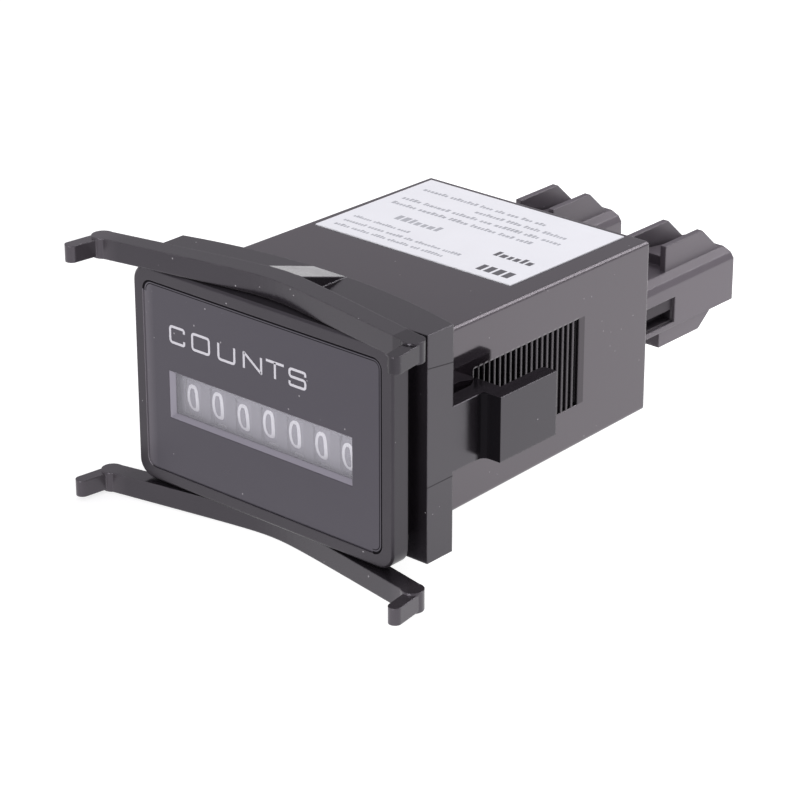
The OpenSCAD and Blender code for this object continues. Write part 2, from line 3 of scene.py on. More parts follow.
import bmesh
import bpy
import numpy as np
from mathutils import Matrix, Vector


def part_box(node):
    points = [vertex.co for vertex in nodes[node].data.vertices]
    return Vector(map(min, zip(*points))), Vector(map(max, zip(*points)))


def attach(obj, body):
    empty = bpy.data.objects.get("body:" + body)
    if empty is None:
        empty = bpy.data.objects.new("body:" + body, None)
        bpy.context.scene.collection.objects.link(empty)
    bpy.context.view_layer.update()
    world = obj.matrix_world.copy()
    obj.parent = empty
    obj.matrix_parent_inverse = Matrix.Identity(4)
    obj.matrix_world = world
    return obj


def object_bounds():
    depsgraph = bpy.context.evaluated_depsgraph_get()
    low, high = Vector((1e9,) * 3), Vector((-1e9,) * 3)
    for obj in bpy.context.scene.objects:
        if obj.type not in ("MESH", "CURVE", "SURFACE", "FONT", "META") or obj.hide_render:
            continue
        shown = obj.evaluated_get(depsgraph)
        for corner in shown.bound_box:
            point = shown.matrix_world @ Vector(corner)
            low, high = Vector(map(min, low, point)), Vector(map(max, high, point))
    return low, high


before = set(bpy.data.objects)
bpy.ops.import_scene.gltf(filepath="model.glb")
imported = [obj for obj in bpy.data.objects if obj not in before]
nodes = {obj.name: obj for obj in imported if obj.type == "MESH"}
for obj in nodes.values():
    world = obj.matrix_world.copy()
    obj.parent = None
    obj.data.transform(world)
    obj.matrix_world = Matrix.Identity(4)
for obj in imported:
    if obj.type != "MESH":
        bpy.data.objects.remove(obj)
cadBox = [list(corner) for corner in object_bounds()]
mm = 0.001
print("frame loaded:", len(nodes), "nodes")


# One output socket of a node tree: sums on Wires add Math nodes, make adds any other node
class Wire:
    def __init__(self, tree, socket=None):
        self.tree = tree
        self.socket = socket

    def make(self, kind, settings=None, sockets=None, out=0):
        node = self.tree.nodes.new(kind)
        for key, value in (settings or {}).items():
            setattr(node, key, value)
        for key, value in (sockets or {}).items():
            if isinstance(value, Wire):
                self.tree.links.new(value.socket, node.inputs[key])
            else:
                node.inputs[key].default_value = value
        return Wire(self.tree, node.outputs[out] if len(node.outputs) else None)

    def other(self, out):
        return Wire(self.tree, self.socket.node.outputs[out])

    def calc(self, operation, a, b=0.0):
        return self.make("ShaderNodeMath", {"operation": operation}, {0: a, 1: b})

    def __add__(self, other):
        return self.calc("ADD", self, other)

    def __radd__(self, other):
        return self.calc("ADD", other, self)

    def __sub__(self, other):
        return self.calc("SUBTRACT", self, other)

    def __rsub__(self, other):
        return self.calc("SUBTRACT", other, self)

    def __mul__(self, other):
        return self.calc("MULTIPLY", self, other)

    def __rmul__(self, other):
        return self.calc("MULTIPLY", other, self)

    def __truediv__(self, other):
        return self.calc("DIVIDE", self, other)

    def __rtruediv__(self, other):
        return self.calc("DIVIDE", other, self)

    def __gt__(self, other):
        return self.calc("GREATER_THAN", self, other)

    def __lt__(self, other):
        return self.calc("LESS_THAN", self, other)

    def __abs__(self):
        return self.calc("ABSOLUTE", self)


def startMaterial(name):
    mat = bpy.data.materials.new(name)
    mat.use_nodes = True
    mat.node_tree.nodes.clear()
    return mat, Wire(mat.node_tree)


def endMaterial(mat, shader):
    shader.make("ShaderNodeOutputMaterial", None, {"Surface": shader})
    return mat


fineDetail = 3.0  # octaves of the finer noises


def noise(wire, place, scale, detail=2.0):
    return wire.make("ShaderNodeTexNoise", None,
                     {"Vector": place, "Scale": scale, "Detail": detail})


def blend(wire, factor, low, high):
    full = [tone if isinstance(tone, Wire) else (*tone, 1.0) for tone in (low, high)]
    return wire.make("ShaderNodeMix", {"data_type": "RGBA"},
                     {0: factor, 6: full[0], 7: full[1]}, out=2)


# One colour that runs from low times itself to high times itself
def varied(wire, factor, colour, low, high):
    tones = [tuple(min(1.0, c * share) for c in colour) for share in (low, high)]
    return blend(wire, factor, *tones)


def clamp(value):
    return value.make("ShaderNodeClamp", None, {0: value})


# What all moulded plastics share: noise scales per metre, grainDepth in mm
plastic = dict(cloudScale=260.0, glossRange=0.1,
               speckScale=800.0, speckSize=0.07, patchScale=150.0, patchLevel=0.54,
               dustTone=(0.42, 0.4, 0.42), dustGloss=0.4,
               bevelSamples=4, wearAndHighlightScale=700.0, wearAndHighlightGain=6.0, wearAndHighlightTone=(0.3, 0.28, 0.3),
               grainScale=9000.0, grainStrength=0.5, grainDepth=0.02,
               paintedShadeAndSeamTone=(0.005, 0.0045, 0.0055, 1.0))


# Moulded plastic: cloudy tone, dust, edges paled partly by wear and partly as painted highlight,
# fine grain, edges rounded in the normal; extra(wire, place) may add tints of painted light as
# (mask, colour), and shade as a mask that mixes in painted shade (on the clip also its dark mould
# seams)
def moulded(name, colour, roughness, spec=0.5, tint=(1.0, 0.96, 1.0), grain=0.3, cloud=0.12,
            dust=0.5, edge=0.18, wearAndHighlight=0.0, extra=None):
    mat, wire = startMaterial(name)
    place = wire.make("ShaderNodeTexCoord", out="Object")
    clouds = noise(wire, place, plastic["cloudScale"], fineDetail)
    base = varied(wire, clouds, colour, 1 - cloud, 1 + cloud)
    gloss = clouds * plastic["glossRange"] + (roughness - plastic["glossRange"] / 2)
    if dust > 0:
        cell = wire.make("ShaderNodeTexVoronoi", {"feature": "F1"},
                         {"Vector": place, "Scale": plastic["speckScale"]}, out="Distance")
        patches = noise(wire, place, plastic["patchScale"]) > plastic["patchLevel"]
        specks = (cell < plastic["speckSize"]) * patches * dust
        base = blend(wire, specks, base, plastic["dustTone"])
        gloss = gloss + specks * plastic["dustGloss"]
    more = extra(wire, place) if extra else {}
    # tints of painted light
    for mask, tone in more.get("paintedLightTints", []):
        base = blend(wire, mask, base, tone)
    normal = wire.make("ShaderNodeBevel", {"samples": plastic["bevelSamples"]},
                       {"Radius": edge * mm})
    if wearAndHighlight > 0:
        # edges turn pale where the rounded normal leaves the flat one: partly wear, partly
        # painted highlight
        flat = wire.make("ShaderNodeNewGeometry", out="True Normal")
        turned = 1 - wire.make("ShaderNodeVectorMath", {"operation": "DOT_PRODUCT"},
                               {0: normal, 1: flat}, out="Value")
        edgeBreakup = noise(wire, place, plastic["wearAndHighlightScale"])
        wornAndHighlit = clamp(turned * plastic["wearAndHighlightGain"]) * edgeBreakup * wearAndHighlight
        base = blend(wire, wornAndHighlit, base, plastic["wearAndHighlightTone"])
    pits = noise(wire, place, plastic["grainScale"]) * grain
    normal = wire.make("ShaderNodeBump", None, {
        "Strength": plastic["grainStrength"], "Distance": plastic["grainDepth"] * mm,
        "Height": pits, "Normal": normal})
    shader = wire.make("ShaderNodeBsdfPrincipled", None, {
        "Base Color": base, "Roughness": gloss, "Normal": normal,
        "Specular IOR Level": spec, "Specular Tint": (*tint, 1.0)})
    # painted shade: a dull dark diffuse mixed in by the shade mask, which on the clip also
    # darkens its mould seams
    if "shade" in more:
        dull = wire.make("ShaderNodeBsdfDiffuse", None, {"Color": plastic["paintedShadeAndSeamTone"]})
        shader = wire.make("ShaderNodeMixShader", None, {0: more["shade"], 1: shader, 2: dull})
    return endMaterial(mat, shader)


# What all metals share: noise scales per metre, lineDepth in mm
metal = dict(cloudScale=300.0, tones=(0.85, 1.08), lineScale=1200.0, lineStrength=0.3,
             lineDepth=0.01, glossRange=0.2)


# Metal sheet or rod with fine drawing lines, long where stretch is small
def drawnMetal(name, colour, roughness, stretch, lineScale=metal["lineScale"]):
    mat, wire = startMaterial(name)
    place = wire.make("ShaderNodeTexCoord", out="Object")
    pulled = wire.make("ShaderNodeMapping", None, {"Vector": place, "Scale": stretch})
    lines = noise(wire, pulled, lineScale, fineDetail)
    base = varied(wire, noise(wire, place, metal["cloudScale"]), colour, *metal["tones"])
    gloss = lines * metal["glossRange"] + (roughness - metal["glossRange"] / 2)
    bump = wire.make("ShaderNodeBump", None, {
        "Strength": metal["lineStrength"], "Distance": metal["lineDepth"] * mm, "Height": lines})
    return endMaterial(mat, wire.make("ShaderNodeBsdfPrincipled", None, {
        "Base Color": base, "Metallic": 1.0, "Roughness": gloss, "Normal": bump}))


pane = dict(veilAndReflection=(0.43, 0.42, 0.465), alpha=0.28, hazeScale=180.0, tones=(0.94, 1.06),
            roughness=0.1, glossRange=0.06)


# Clear pane with a faint milky veil that paints the room's reflection in the lens
def clearPane(name, values):
    mat, wire = startMaterial(name)
    place = wire.make("ShaderNodeTexCoord", out="Object")
    haze = noise(wire, place, values["hazeScale"], fineDetail)
    base = varied(wire, haze, values["veilAndReflection"], *values["tones"])
    gloss = haze * values["glossRange"] + values["roughness"]
    return endMaterial(mat, wire.make("ShaderNodeBsdfPrincipled", None, {
        "Base Color": base, "Roughness": gloss, "Alpha": values["alpha"]}))


faceLow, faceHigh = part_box("face_plate")
faceFront = faceLow[1]
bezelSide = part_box("bezel")[1][0] / mm
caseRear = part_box("case")[1][1] / mm
# Around the face plate, in mm: gap to the bezel, corner radius, reach of the painted shade along
# the top and right edges
faceRim = dict(gap=0.14, corner=1.02, reach=1.2)


# Half width and half height of the face plate in mm, grown on every side
def faceHalf(grow=0.0):
    return faceHigh[0] / mm + grow, faceHigh[2] / mm + grow


# Object coordinates in mm
def split(wire, place):
    parts = wire.make("ShaderNodeSeparateXYZ", None, {0: place})
    return parts / mm, parts.other("Y") / mm, parts.other("Z") / mm


def within(value, low, high):
    return (value > low) * (value < high)


def either(one, two):
    return (one + two) > 0.5


# Distance to a rounded rectangle: q = |p| - half + r, d = |max(q, 0)| + min(max(qx, qz), 0) - r
def outline(x, z, halfX, halfZ, r):
    qx, qz = abs(x) - (halfX - r), abs(z) - (halfZ - r)
    px, pz = qx.calc("MAXIMUM", qx), qz.calc("MAXIMUM", qz)
    inside = x.calc("MINIMUM", x.calc("MAXIMUM", qx, qz))
    return x.calc("SQRT", px * px + pz * pz) + inside - r


# The top and right edges of a rectangle
def topRight(x, z, halfX, halfZ):
    return either(z > halfZ - faceRim["reach"], x > halfX - faceRim["reach"])


# Face plate, in mm: painted light on the sloped window edges and along the left border, and two
# lines of painted shade along the top and right edges at these distances from the outline
faceLook = dict(windowHalf=(13.6, 6.0), slopeStart=0.04, slopeLightTone=(0.2, 0.19, 0.22),
                litBorder=1.3, borderLightTone=(0.055, 0.05, 0.058),
                innerLine=(-0.31, -0.21), outerLine=-0.08, paintedShade=0.9)


def faceDetail(wire, place):
    look = faceLook
    x, y, z = split(wire, place)
    halfX, halfZ = faceHalf()
    windowX, windowZ = look["windowHalf"]
    behind = y > faceFront / mm + look["slopeStart"]
    # painted light on the sloped window edges
    litSlopes = behind * (abs(x) < windowX) * (abs(z) < windowZ)
    # painted light along the left border
    litBorder = clamp((x + (halfX - look["litBorder"])) / -look["litBorder"])
    edge = outline(x, z, halfX, halfZ, faceRim["corner"])
    # two lines of painted shade, kept to the top and right edges
    lines = within(edge, *look["innerLine"]) + (edge > look["outerLine"])
    return {"paintedLightTints": [(litBorder, look["borderLightTone"]), (litSlopes, look["slopeLightTone"])],
            "shade": lines * topRight(x, z, halfX, halfZ) * look["paintedShade"]}


# Bezel, in mm: painted shade on the inner edge along the top and right, painted light on it at
# the left, painted shade on the right flank
bezelLook = dict(innerEdge=0.04, litReach=0.6, innerLightTone=(0.13, 0.12, 0.135), paintedShade=0.9,
                 flank=0.3, flankShade=0.12)


def bezelDetail(wire, place):
    look = bezelLook
    x, y, z = split(wire, place)
    halfX, halfZ = faceHalf(faceRim["gap"])
    edge = outline(x, z, halfX, halfZ, faceRim["corner"] + faceRim["gap"])
    inner = edge < look["innerEdge"]
    # painted light on the inner wall at the left
    pale = inner * (x < look["litReach"] - halfX)
    # painted shade on the inner edge along the top and right
    paintedShade = inner * topRight(x, z, halfX, halfZ) * look["paintedShade"]
    # painted shade on the right flank
    flank = (x > bezelSide - look["flank"]) * look["flankShade"]
    return {"paintedLightTints": [(pale, look["innerLightTone"])], "shade": paintedShade + flank}


# Clip, in mm: dark mould seams across the side walls, painted shade in the corner in front of
# each pad, painted light on the left and lower feet, painted shade on the upper right foot and
# the pads; the feet lie in front of y = 0
clipLook = dict(side=18.75, wallSkin=0.1, wallRear=6.2,
                upperSeam=9.2, seamSlope=0.125, lowerSeam=-4.0, seamHalf=0.05, seamShade=0.7,
                padFront=10.8, padOut=0.9, padShade=0.12,
                cornerStart=1.35, cornerRun=0.6, cornerSkin=0.05, cornerEnd=0.04,
                cornerHalf=4.0, cornerShade=0.95,
                footStart=18.6, footRun=2.4, footLightTone=(0.030, 0.026, 0.030),
                dullFoot=19.3, footShade=0.25)


def clipDetail(wire, place):
    look = clipLook
    x, y, z = split(wire, place)
    wall = (abs(x) > look["side"] - look["wallSkin"]) * (y < look["wallRear"])
    upper = abs(z - look["upperSeam"] + y * look["seamSlope"]) < look["seamHalf"]
    lower = abs(z - look["lowerSeam"]) < look["seamHalf"]
    seam = (upper + lower) * wall * look["seamShade"]
    # painted shade in the corner in front of each pad
    rise = clamp((y - (look["padFront"] - look["cornerStart"])) / look["cornerRun"])
    corner = (rise * (abs(x) > look["side"] - look["cornerSkin"])
              * (y < look["padFront"] + look["cornerEnd"]) * (abs(z) < look["cornerHalf"]))
    # painted light on the left and lower feet
    reach = clamp((abs(x) - look["footStart"]) / look["footRun"])
    litFeet = reach * (y < 0.0) * either(x < 0.0, z < 0.0)
    # painted shade on the upper right foot
    shadedFoot = (x > look["dullFoot"]) * (y < 0.0) * (z > 0.0) * look["footShade"]
    # painted shade on the outer faces of the pads
    shadedPads = (abs(x) > look["side"] + look["padOut"]) * (y > look["padFront"]) * look["padShade"]
    return {"paintedLightTints": [(litFeet, look["footLightTone"])],
            "shade": clamp(seam + corner * look["cornerShade"] + (shadedFoot + shadedPads))}


# Case, in mm: painted shade on the ratchet grooves below the drafted side, heavier in the grooves
# than on the ridges,
# depth = rearHalf + draft (rear - y) - |x|
caseLook = dict(rearHalf=15.6, draft=0.01, deepest=0.6, grooves=(12.6, 31.2), middle=-0.2,
                grooveHalf=4.96, skin=0.02, grooveShade=0.5, ridgeShade=0.35)


def caseDetail(wire, place):
    look = caseLook
    x, y, z = split(wire, place)
    depth = look["rearHalf"] + look["draft"] * (caseRear - y) - abs(x)
    shadedGrooves = ((depth < look["deepest"]) * within(y, *look["grooves"])
             * (abs(z - look["middle"]) < look["grooveHalf"]))
    return {"shade": shadedGrooves * ((depth > look["skin"]) * look["grooveShade"] + look["ridgeShade"])}


# Plug, in mm: painted shade in the side recess, the left plug sits 1 mm further out
plugLook = dict(middle=8.4, half=3.95, recess=(-3.15, -0.05), rear=51.8, shade=0.55)


def plugDetail(wire, place):
    look = plugLook
    x, y, z = split(wire, place)
    inside = abs(abs(x) - look["middle"]) < look["half"]
    # painted shade in the side recess
    recess = inside * within(z, *look["recess"]) * (y < look["rear"] + (x < 0.0))
    return {"shade": recess * look["shade"]}


drumPlastic = dict(roughness=0.5, grain=0.2, cloud=0.04, dust=0.0, edge=0.02)
printed = dict(grain=0.1, dust=0.0, edge=0.02)
finishes = {
    "bezel": dict(colour=(0.018, 0.016, 0.019), roughness=0.32, spec=0.47,
                  tint=(0.95, 0.89, 1.0), edge=0.2, wearAndHighlight=0.2, extra=bezelDetail),
    "face": dict(colour=(0.020, 0.018, 0.024), roughness=0.3, spec=0.72, tint=(0.94, 0.88, 1.0),
                 grain=0.12, cloud=0.05, edge=0.08, extra=faceDetail),
    "case": dict(colour=(0.012, 0.0095, 0.012), roughness=0.07, spec=1.0, tint=(1.0, 0.9, 1.0),
                 grain=0.04, cloud=0.1, edge=0.35, dust=0.3, wearAndHighlight=0.12, extra=caseDetail),
    "clip": dict(colour=(0.009, 0.0076, 0.0094), roughness=0.2, spec=0.67,
                 tint=(0.95, 0.89, 1.0), edge=0.2, wearAndHighlight=0.3, extra=clipDetail),
    "plug": dict(colour=(0.07, 0.06, 0.071), roughness=0.42, spec=0.9, tint=(1.0, 0.93, 1.0),
                 edge=0.25, wearAndHighlight=0.15, extra=plugDetail),
    # grey-violet drums and guard sheet: painted reflection of the room in the lens; the drums are
    # paler than the sheet as painted light against the shade the sheet casts on them
    "wheel": dict(drumPlastic, colour=(0.15, 0.145, 0.17)),
    "guard": dict(drumPlastic, colour=(0.085, 0.082, 0.097)),
    "pinion": dict(colour=(0.72, 0.7, 0.62), roughness=0.45, dust=0.0),
    "frame": dict(colour=(0.66, 0.62, 0.52), roughness=0.5, dust=0.0),
    "board": dict(colour=(0.05, 0.22, 0.1), roughness=0.4, dust=0.0),
    "chipBlack": dict(colour=(0.02, 0.02, 0.02), roughness=0.5, dust=0.0),
    "discBlue": dict(colour=(0.04, 0.12, 0.4), roughness=0.3, dust=0.0),
    "label": dict(printed, colour=(0.78, 0.79, 0.82), roughness=0.42, cloud=0.025),
    "ink": dict(printed, colour=(0.38, 0.37, 0.40), roughness=0.4, cloud=0.06),
    "digitInk": dict(printed, colour=(0.9, 0.89, 0.93), roughness=0.5, cloud=0.03),
    "darkInk": dict(printed, colour=(0.1, 0.1, 0.11), roughness=0.5, cloud=0.2),
    "greyInk": dict(printed, colour=(0.40, 0.41, 0.44), roughness=0.5, cloud=0.2),
}
metals = {
    "steel": dict(colour=(0.55, 0.55, 0.57), roughness=0.35, stretch=(0.05, 1.0, 1.0)),
    "copper": dict(colour=(0.7, 0.34, 0.17), roughness=0.35, stretch=(0.1, 1.0, 0.1),
                   lineScale=3000.0),
    "bronze": dict(colour=(0.72, 0.56, 0.32), roughness=0.3, stretch=(1.0, 1.0, 0.05)),
    "tinned": dict(colour=(0.72, 0.66, 0.5), roughness=0.35, stretch=(1.0, 0.05, 1.0)),
}
made = {name: moulded(name + "Finish", **values) for name, values in finishes.items()}
made.update({name: drawnMetal(name + "Finish", **values) for name, values in metals.items()})
made["pane"] = clearPane("paneFinish", pane)

nodeFinish = {
    "bezel": "bezel", "face_plate": "face", "lens": "pane", "case": "case",
    "mounting_clip": "clip", "label_sheet": "label", "wheel_shaft": "steel",
    "pinion_shaft": "steel", "mechanism_frame": "frame", "coil_bobbin": "pinion",
    "coil_winding": "copper", "coil_core": "steel", "coil_yoke": "steel", "armature": "steel",
    "anchor_lever": "pinion", "armature_pin": "steel", "return_spring": "bronze",
    "circuit_board": "board", "bridge_rectifier": "chipBlack", "suppressor": "discBlue",
}
# pieces that come in rows, by their name without its last word
rowFinish = {"number_wheel": "wheel", "transfer_pinion": "pinion", "plug_housing": "plug",
             "blade_terminal": "tinned", "receptacle": "tinned"}
for name, obj in nodes.items():
    key = nodeFinish.get(name) or rowFinish[name.rsplit("_", 1)[0]]
    obj.data.materials.clear()
    obj.data.materials.append(made[key])
print("finishes set on the solids")

cornerPoints = 7


# A polyline whose corners are cut back by radius and replaced with
# p(t) = (1-t)^2 start + 2t(1-t) corner + t^2 end
def roundedPath(corners, radius, closed=False):
    corners = np.asarray(corners, float)
    count = len(corners)
    t = np.linspace(0, 1, cornerPoints)[:, None]
    pieces = [] if closed else [corners[:1]]
    for i in range(0 if closed else 1, count if closed else count - 1):
        here = corners[i]
        a, b = corners[i - 1] - here, corners[(i + 1) % count] - here
        lengthA, lengthB = np.linalg.norm(a), np.linalg.norm(b)
        cut = min(radius, lengthA / 2, lengthB / 2)
        start, end = here + a / lengthA * cut, here + b / lengthB * cut
        pieces.append((1 - t) ** 2 * start + 2 * t * (1 - t) * here + t ** 2 * end)
    if not closed:
        pieces.append(corners[-1:])
    path = np.concatenate(pieces)
    return np.concatenate([path, path[:1]]) if closed else path


# The same line in even steps
def spread(path, gap):
    lengths = np.linalg.norm(np.diff(path, axis=0), axis=1)
    run = np.concatenate([[0], np.cumsum(lengths)])
    at = np.linspace(0, run[-1], max(2, int(run[-1] / gap) + 1))
    return np.stack([np.interp(at, run, path[:, k]) for k in (0, 1)], axis=1)


# Quads around n rows of four points, with both ends closed unless the rows meet
def tubeFaces(n, closed):
    row = np.arange(n - 1)[:, None] * 4
    k = np.arange(4)[None, :]
    after = (k + 1) % 4
    quads = np.stack([row + k, row + after, row + 4 + after, row + 4 + k], axis=-1).reshape(-1, 4)
    ends = np.array([[3, 2, 1, 0], [4 * n - 4, 4 * n - 3, 4 * n - 2, 4 * n - 1]])
    return quads if closed else np.concatenate([quads, ends])


# A printed stroke: the flat section (-w/2, 0), (-w/2, h), (w/2, h), (w/2, 0) carried along a path
def stroke(path, width, height):
    closed = np.allclose(path[0], path[-1])
    step = np.gradient(path, axis=0)
    if closed:
        step[0] = step[-1] = path[1] - path[-2]
    step /= np.linalg.norm(step, axis=1)[:, None]
    half = (np.asarray(width) / 2 * np.ones(len(path)))[:, None]
    side = np.stack([-step[:, 1], step[:, 0]], axis=1) * half
    low, high = np.zeros(len(path)), np.full(len(path), height)
    rows = [np.column_stack([path + side, low]), np.column_stack([path + side, high]),
            np.column_stack([path - side, high]), np.column_stack([path - side, low])]
    return np.stack(rows, axis=1).reshape(-1, 3), tubeFaces(len(path), closed)


# Several (points, quads) as one
def joined(parts):
    first = np.cumsum([0] + [len(points) for points, _ in parts])
    quads = [own + start for (_, own), start in zip(parts, first)]
    return np.concatenate([points for points, _ in parts]), np.concatenate(quads)


# Drawn (across, up, out of the front) in mm, placed on a plane y = front in metres
def onFront(verts, front):
    return np.column_stack([verts[:, 0] * mm, front - verts[:, 2] * mm, verts[:, 1] * mm])


weldGap = 1e-8  # metres


def addPiece(name, verts, faces, material, body):
    mesh = bpy.data.meshes.new(name)
    mesh.from_pydata(verts.tolist(), [], faces.tolist())
    shape = bmesh.new()
    shape.from_mesh(mesh)
    bmesh.ops.remove_doubles(shape, verts=shape.verts, dist=weldGap)
    bmesh.ops.recalc_face_normals(shape, faces=shape.faces)
    shape.to_mesh(mesh)
    shape.free()
    mesh.materials.append(material)
    obj = bpy.data.objects.new(name, mesh)
    bpy.context.scene.collection.objects.link(obj)
    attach(obj, body)


# Legend on the face plate, letters on a 1 by 1 box: (letter, left edge, width) in mm
legend = dict(low=4.42, height=2.06, line=0.29, thick=0.015, step=0.06, corner=0.36,
              sharpCorner=0.02, sharpLetters="N",
              letters=[("C", -12.9, 2.3), ("O", -9.7, 2.7), ("U", -5.95, 2.55),
                       ("N", -2.35, 2.72), ("T", 0.87, 2.53), ("S", 4.0, 2.45)])
# each letter's lines as (corners, whether the line meets itself)
letterPaths = {
    "C": [([(1, 0.74), (1, 1), (0, 1), (0, 0), (1, 0), (1, 0.26)], False)],
    "O": [([(0, 0), (1, 0), (1, 1), (0, 1)], True)],
    "U": [([(0, 1), (0, 0), (1, 0), (1, 1)], False)],
    "N": [([(0, 0), (0, 1), (1, 0), (1, 1)], False)],
    "T": [([(-0.05, 1), (1.05, 1)], False), ([(0.5, 1), (0.5, 0)], False)],
    "S": [([(1, 0.76), (1, 1), (0, 1), (0, 0.52), (1, 0.52), (1, 0), (0, 0), (0, 0.24)], False)],
}


def makeLegend(values):
    line, parts = values["line"], []
    for letter, left, wide in values["letters"]:
        corner = values["sharpCorner" if letter in values["sharpLetters"] else "corner"]
        for corners, closed in letterPaths[letter]:
            points = np.asarray(corners, float) * (wide - line, values["height"] - line)
            points = points + (left + line / 2, values["low"] + line / 2)
            path = spread(roundedPath(points, corner, closed), values["step"])
            parts.append(stroke(path, line, values["thick"]))
    verts, faces = joined(parts)
    addPiece("legend", onFront(verts, faceFront), faces, made["ink"], "housing")


makeLegend(legend)
print("legend drawn")

# Bead in the gap around the face plate, face-coloured so the gap's shade is painted over at the
# left and bottom, with the face's painted shade lines at the top and right: a flat section
# carried along its rounded outline, in mm
bead = dict(wide=0.15, sink=0.04, deep=0.25, step=0.2)


def makeBead(values):
    halfGap = faceRim["gap"] / 2
    halfX, halfZ = faceHalf(halfGap)
    corners = [(-halfX, -halfZ), (halfX, -halfZ), (halfX, halfZ), (-halfX, halfZ)]
    path = spread(roundedPath(corners, faceRim["corner"] + halfGap, True), values["step"])
    verts, faces = stroke(path, values["wide"], values["deep"])
    back = faceFront + (values["sink"] + values["deep"]) * mm
    addPiece("face_bead", onFront(verts, back), faces, made["face"], "housing")


makeBead(bead)
print("bead laid")

# Figures 0 to 9 around each drum, on a 1 by 1 box, 0 facing the window, in mm
# stress makes the right sides heavier, and by lift no two drums stop quite level
figures = dict(width=1.64, height=3.16, line=0.4, stress=0.3, thick=0.012, step=0.07, corner=0.3,
               shift=-0.5, lift=[-0.53, -0.36, -0.63, -0.28, -0.35, -0.51, -0.65],
               ovalPoints=57, ovalPower=0.62)


# x = 1/2 + 1/2 cos(a)^power with the sign of cos(a), y = 1/2 + 1/2 sin(a)
def ovalPath(values):
    turn = np.linspace(0, 2 * math.pi, values["ovalPoints"])
    across = np.sign(np.cos(turn)) * np.abs(np.cos(turn)) ** values["ovalPower"]
    return np.column_stack([0.5 + 0.5 * across, 0.5 + 0.5 * np.sin(turn)])


figurePaths = {
    1: [[(0.2, 0.78), (0.55, 1), (0.55, 0)]],
    2: [[(0, 0.74), (0.02, 1), (1, 1), (1, 0.6), (0, 0.04), (0, 0), (1, 0)]],
    3: [[(0, 0.84), (0.02, 1), (1, 1), (1, 0.53), (0.42, 0.53)],
        [(0.42, 0.53), (1, 0.53), (1, 0), (0.02, 0), (0, 0.16)]],
    4: [[(0.72, 0), (0.72, 1), (0, 0.3), (1, 0.3)]],
    5: [[(0.95, 1), (0.08, 1), (0.04, 0.58), (1, 0.62), (1, 0), (0, 0), (0, 0.14)]],
    6: [[(0.95, 0.84), (0.92, 1), (0, 1), (0, 0), (1, 0), (1, 0.56), (0.02, 0.56)]],
    7: [[(0, 1), (1, 1), (0.36, 0)]],
    8: [[(0.5, 0.53), (0.06, 0.53), (0.06, 1), (0.94, 1), (0.94, 0.53), (0.5, 0.53)],
        [(0.5, 0.53), (0, 0.53), (0, 0), (1, 0), (1, 0.53), (0.5, 0.53)]],
    9: [[(0.05, 0.16), (0.08, 0), (1, 0), (1, 1), (0, 1), (0, 0.44), (0.98, 0.44)]],
}
drumCount = len(figures["lift"])
drumLow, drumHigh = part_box("number_wheel_1")
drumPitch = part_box("number_wheel_2")[0][0] - drumLow[0]
firstDrum = (drumLow[0] + drumHigh[0]) / 2


# Wrapped on the drum: angle = height / radius, each figure a tenth of a turn further
def makeFigures(index, values):
    low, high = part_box(f"number_wheel_{index}")
    radius = (high[2] - low[2]) / 2
    axisY, axisZ = (low[1] + high[1]) / 2, (low[2] + high[2]) / 2
    middle = firstDrum + (index - 1) * drumPitch
    size = (values["width"] - values["line"], values["height"] - values["line"])
    lines = [(0, ovalPath(values))]
    lines += [(figure, roundedPath(shape, values["corner"]))
              for figure, shapes in figurePaths.items() for shape in shapes]
    parts = []
    for figure, path in lines:
        path = spread((path - 0.5) * size, values["step"])
        wide = values["line"] * (1 + values["stress"] * path[:, 0] / values["width"])
        verts, faces = stroke(path, wide, values["thick"])
        angle = (verts[:, 1] + values["lift"][index - 1]) * mm / radius + figure * math.pi / 5
        reach = radius + verts[:, 2] * mm
        across = middle + (verts[:, 0] + values["shift"]) * mm
        parts.append((np.column_stack([across, axisY - reach * np.cos(angle),
                                       axisZ + reach * np.sin(angle)]), faces))
    verts, faces = joined(parts)
    addPiece(f"figures_{index}", verts, faces, made["digitInk"], f"wheel_{index}")


for index in range(1, drumCount + 1):
    makeFigures(index, figures)
print("figures drawn on the drums")

# Flat grey guard sheet between the pane and the drums, with an opening for each figure, in mm
# left and right count from each drum's middle, ends are the sheet's own x, z, x, z
guards = dict(behind=0.06, thick=0.05, left=-1.36, right=0.95, low=-4.2, high=-0.2,
              ends=(-13.6, -5.0, 13.6, 1.9))


def makeGuards(values):
    middles = [firstDrum / mm + i * drumPitch / mm for i in range(drumCount)]
    openings = [(middle + values["left"], middle + values["right"]) for middle in middles]
    x0, z0, x1, z1 = values["ends"]
    lefts = [x0] + [right for left, right in openings]
    rights = [left for left, right in openings] + [x1]
    spans = ((z0, values["low"]), (values["high"], z1))
    bars = [(left, right, z0, z1) for left, right in zip(lefts, rights)]
    bars += [(left, right, *span) for left, right in openings for span in spans]
    parts = []
    for left, right, low, high in bars:
        middle = (low + high) / 2
        path = np.array([(left, middle), (right, middle)])
        parts.append(stroke(path, high - low, values["thick"]))
    verts, faces = joined(parts)
    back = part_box("lens")[1][1] + (values["behind"] + values["thick"]) * mm
    addPiece("drum_guards", onFront(verts, back), faces, made["guard"], "housing")


makeGuards(guards)
print("guard sheet set")

